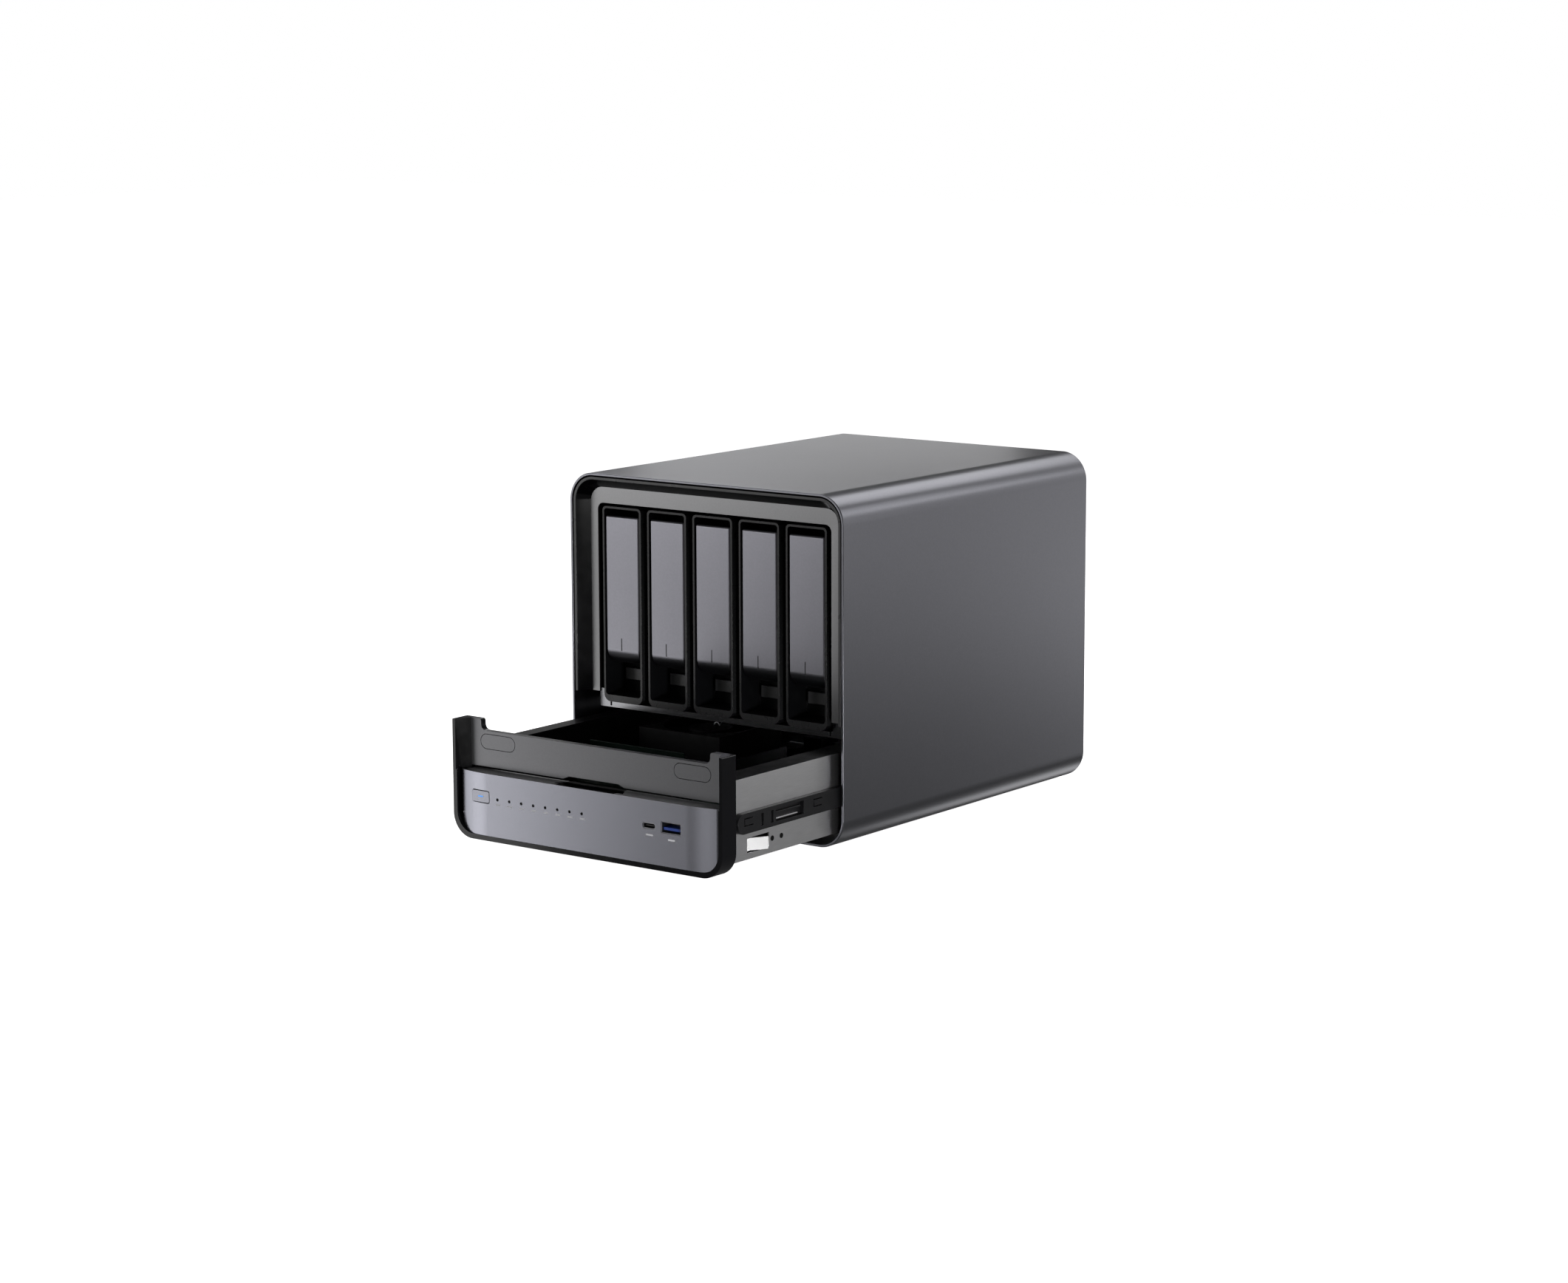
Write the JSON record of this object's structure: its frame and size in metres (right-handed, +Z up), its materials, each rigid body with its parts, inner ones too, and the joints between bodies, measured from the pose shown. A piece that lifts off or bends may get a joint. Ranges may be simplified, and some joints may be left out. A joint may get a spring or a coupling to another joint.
{
  "type": "network storage enclosure",
  "caption": "Desktop drive enclosure: rounded metal shell, hinged-lever drive trays above a pull-out compute drawer with a metal fascia, ports and a power button.",
  "frame": {"origin": "middle of the object's footprint on the surface it stands on, with the drawer out as modelled", "axes": "+Z up, -Y towards the front, +X to the right seen from the front"},
  "size_m": [0.199, 0.3606, 0.204],
  "materials": {
    "shell_aluminium": "fine bead-blasted, dark grey anodised",
    "gloss_black": "polished black",
    "rubber": "matte",
    "cage_steel": "dark satin",
    "black_plastic": "moulded, satin",
    "circuit_board": "solder mask",
    "connector_black": "moulded",
    "rear_paint": "powder coat",
    "screw_steel": "zinc",
    "fan_plastic": "moulded",
    "panel_grey": "satin grey",
    "fascia_aluminium": "fine brushed, anodised",
    "light_pipe": "clear moulded",
    "port_steel": "plated",
    "tray_steel": "satin sheet",
    "white_plastic": "moulded, white",
    "brass": "turned",
    "heatsink_aluminium": "extruded",
    "tray_grey": "satin dark grey",
    "door_grey": "satin grey",
    "latch_grey": "moulded grey"
  },
  "bodies": {
    "chassis": {"outer_shell": "shell_aluminium", "front_bezel": "gloss_black", "rubber_feet": "rubber", "drive_cage": "cage_steel", "bay_guides": "black_plastic", "sata_backplane": "circuit_board", "sata_connectors": "connector_black", "rear_frame": "black_plastic", "rear_panel": "rear_paint", "rear_screws": "screw_steel", "rear_fan_frame_left": "fan_plastic", "rear_fan_frame_right": "fan_plastic", "chassis_runner_left": "black_plastic", "chassis_runner_right": "black_plastic", "dock_socket": "connector_black"},
    "compute_drawer": {"drawer_front_frame": "gloss_black", "drawer_front_panel": "panel_grey", "fascia": "fascia_aluminium", "led_light_pipes": "light_pipe", "usb_c_port": "port_steel", "usb_a_port": "port_steel", "front_io_board": "circuit_board", "drawer_tray": "tray_steel", "drawer_rail_left": "black_plastic", "drawer_rail_right": "black_plastic", "drawer_screws": "screw_steel", "motherboard": "circuit_board", "board_standoffs": "brass", "cpu_heatsink": "heatsink_aluminium", "cpu_fan_frame": "fan_plastic", "memory_modules": "circuit_board", "ssd_modules": "circuit_board", "io_shield": "tray_steel", "rear_ports": "port_steel", "power_inlet": "connector_black", "dock_plug": "connector_black"},
    "power_button": {"power_button": "fascia_aluminium"},
    "release_left": {"release_button_left": "panel_grey"},
    "release_right": {"release_button_right": "panel_grey"},
    "stop_tab_left": {"stop_tab_left": "white_plastic"},
    "stop_tab_right": {"stop_tab_right": "white_plastic"},
    "rear_rotor_left": {"rear_fan_rotor_left": "fan_plastic"},
    "rear_rotor_right": {"rear_fan_rotor_right": "fan_plastic"},
    "cpu_rotor": {"cpu_fan_rotor": "fan_plastic"},
    "tray_1": {"tray_1_carrier": "tray_grey"},
    "door_1": {"tray_1_door": "door_grey"},
    "latch_1": {"tray_1_latch": "latch_grey"},
    "tray_2": {"tray_2_carrier": "tray_grey"},
    "door_2": {"tray_2_door": "door_grey"},
    "latch_2": {"tray_2_latch": "latch_grey"},
    "tray_3": {"tray_3_carrier": "tray_grey"},
    "door_3": {"tray_3_door": "door_grey"},
    "latch_3": {"tray_3_latch": "latch_grey"},
    "tray_4": {"tray_4_carrier": "tray_grey"},
    "door_4": {"tray_4_door": "door_grey"},
    "latch_4": {"tray_4_latch": "latch_grey"},
    "tray_5": {"tray_5_carrier": "tray_grey"},
    "door_5": {"tray_5_door": "door_grey"},
    "latch_5": {"tray_5_latch": "latch_grey"}
  },
  "joints": [
    {"name": "drawer_slide", "type": "slide", "parent": "chassis", "child": "compute_drawer", "axis": [0, -1, 0], "range_m": [-0.1086, 0]},
    {"name": "power_press", "type": "slide", "parent": "compute_drawer", "child": "power_button", "axis": [0, 1, 0], "range_m": [0, 0.0012], "stiffness_N_per_m": 400},
    {"name": "release_left_press", "type": "slide", "parent": "compute_drawer", "child": "release_left", "axis": [0, 1, 0], "range_m": [0, 0.0016], "stiffness_N_per_m": 500},
    {"name": "release_right_press", "type": "slide", "parent": "compute_drawer", "child": "release_right", "axis": [0, 1, 0], "range_m": [0, 0.0016], "stiffness_N_per_m": 500},
    {"name": "stop_left_press", "type": "slide", "parent": "compute_drawer", "child": "stop_tab_left", "axis": [1, 0, 0], "range_m": [0, 0.004], "stiffness_N_per_m": 300},
    {"name": "stop_right_press", "type": "slide", "parent": "compute_drawer", "child": "stop_tab_right", "axis": [-1, 0, 0], "range_m": [0, 0.004], "stiffness_N_per_m": 300},
    {"name": "rear_left_spin", "type": "hinge", "parent": "chassis", "child": "rear_rotor_left", "pos_m": [-0.043, 0.1643, 0.128], "axis": [0, 1, 0], "continuous": true},
    {"name": "rear_right_spin", "type": "hinge", "parent": "chassis", "child": "rear_rotor_right", "pos_m": [0.043, 0.1643, 0.128], "axis": [0, 1, 0], "continuous": true},
    {"name": "cpu_fan_spin", "type": "hinge", "parent": "compute_drawer", "child": "cpu_rotor", "pos_m": [-0.028, -0.0303, 0.047], "axis": [0, 0, 1], "continuous": true},
    {"name": "tray_1_slide", "type": "slide", "parent": "chassis", "child": "tray_1", "axis": [0, -1, 0], "range_m": [0, 0.15]},
    {"name": "door_1_hinge", "type": "hinge", "parent": "tray_1", "child": "door_1", "pos_m": [-0.0674, -0.0598, 0.174], "axis": [-1, 0, 0], "range_deg": [0, 50]},
    {"name": "latch_1_press", "type": "slide", "parent": "tray_1", "child": "latch_1", "axis": [0, 1, 0], "range_m": [0, 0.0018], "stiffness_N_per_m": 300},
    {"name": "tray_2_slide", "type": "slide", "parent": "chassis", "child": "tray_2", "axis": [0, -1, 0], "range_m": [0, 0.15]},
    {"name": "door_2_hinge", "type": "hinge", "parent": "tray_2", "child": "door_2", "pos_m": [-0.0337, -0.0598, 0.174], "axis": [-1, 0, 0], "range_deg": [0, 50]},
    {"name": "latch_2_press", "type": "slide", "parent": "tray_2", "child": "latch_2", "axis": [0, 1, 0], "range_m": [0, 0.0018], "stiffness_N_per_m": 300},
    {"name": "tray_3_slide", "type": "slide", "parent": "chassis", "child": "tray_3", "axis": [0, -1, 0], "range_m": [0, 0.15]},
    {"name": "door_3_hinge", "type": "hinge", "parent": "tray_3", "child": "door_3", "pos_m": [0, -0.0598, 0.174], "axis": [-1, 0, 0], "range_deg": [0, 50]},
    {"name": "latch_3_press", "type": "slide", "parent": "tray_3", "child": "latch_3", "axis": [0, 1, 0], "range_m": [0, 0.0018], "stiffness_N_per_m": 300},
    {"name": "tray_4_slide", "type": "slide", "parent": "chassis", "child": "tray_4", "axis": [0, -1, 0], "range_m": [0, 0.15]},
    {"name": "door_4_hinge", "type": "hinge", "parent": "tray_4", "child": "door_4", "pos_m": [0.0337, -0.0598, 0.174], "axis": [-1, 0, 0], "range_deg": [0, 50]},
    {"name": "latch_4_press", "type": "slide", "parent": "tray_4", "child": "latch_4", "axis": [0, 1, 0], "range_m": [0, 0.0018], "stiffness_N_per_m": 300},
    {"name": "tray_5_slide", "type": "slide", "parent": "chassis", "child": "tray_5", "axis": [0, -1, 0], "range_m": [0, 0.15]},
    {"name": "door_5_hinge", "type": "hinge", "parent": "tray_5", "child": "door_5", "pos_m": [0.0674, -0.0598, 0.174], "axis": [-1, 0, 0], "range_deg": [0, 50]},
    {"name": "latch_5_press", "type": "slide", "parent": "tray_5", "child": "latch_5", "axis": [0, 1, 0], "range_m": [0, 0.0018], "stiffness_N_per_m": 300}
  ]
}
